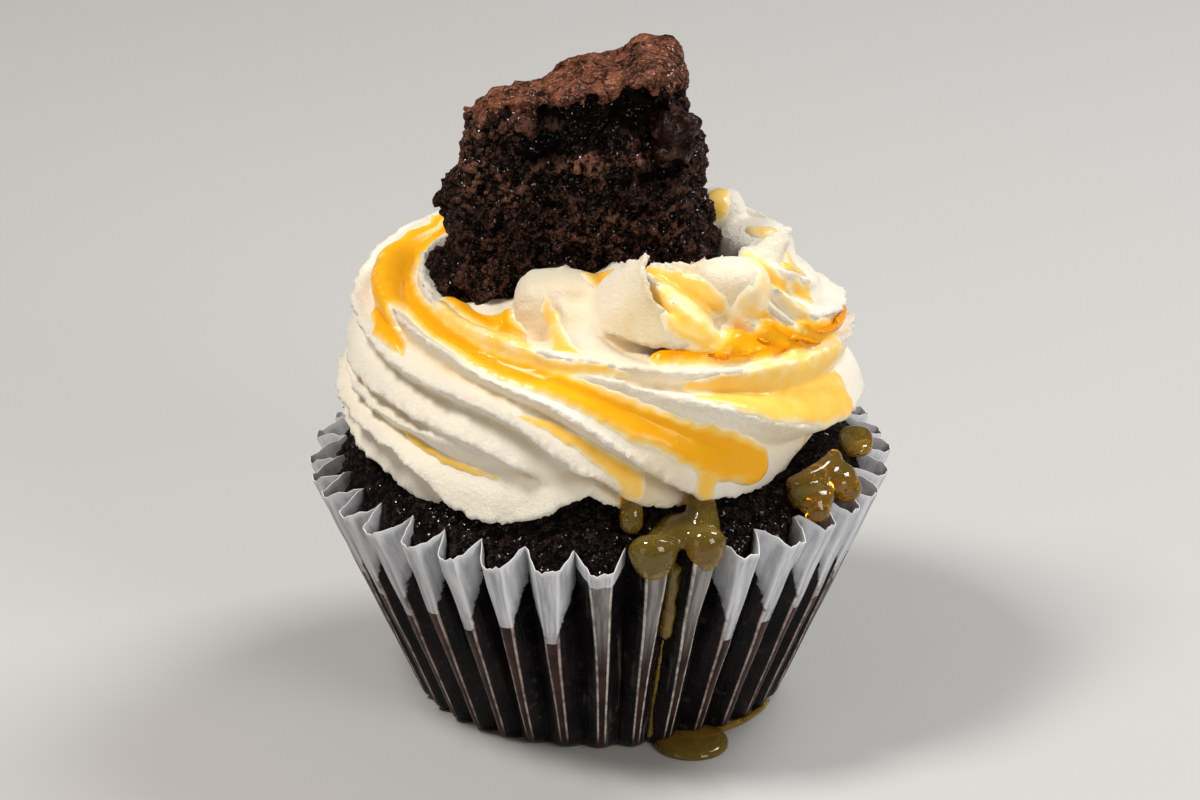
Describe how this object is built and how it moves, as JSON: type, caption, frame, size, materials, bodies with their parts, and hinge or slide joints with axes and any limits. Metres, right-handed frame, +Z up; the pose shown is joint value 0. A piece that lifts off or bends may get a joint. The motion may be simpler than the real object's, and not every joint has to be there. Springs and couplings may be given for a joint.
{
  "type": "caramel brownie cupcake",
  "caption": "Chocolate cupcake in a pleated paper case, with a piped buttercream swirl, a brownie chunk set on top and caramel sauce running down it.",
  "frame": {"origin": "middle of the flat foot of the paper case, on the surface the cupcake stands on", "axes": "+Z up through the cupcake; -Y is the front, where the piping starts and ends; +X is to the right seen from the front"},
  "size_m": [0.0792, 0.0791, 0.0919],
  "materials": {
    "paper_case": "matte",
    "cake": "matte",
    "frosting": "matte",
    "brownie": "matte"
  },
  "bodies": {
    "root": {"paper_case": "paper_case", "cake": "cake", "frosting": "frosting", "brownie": "brownie"}
  },
  "joints": []
}
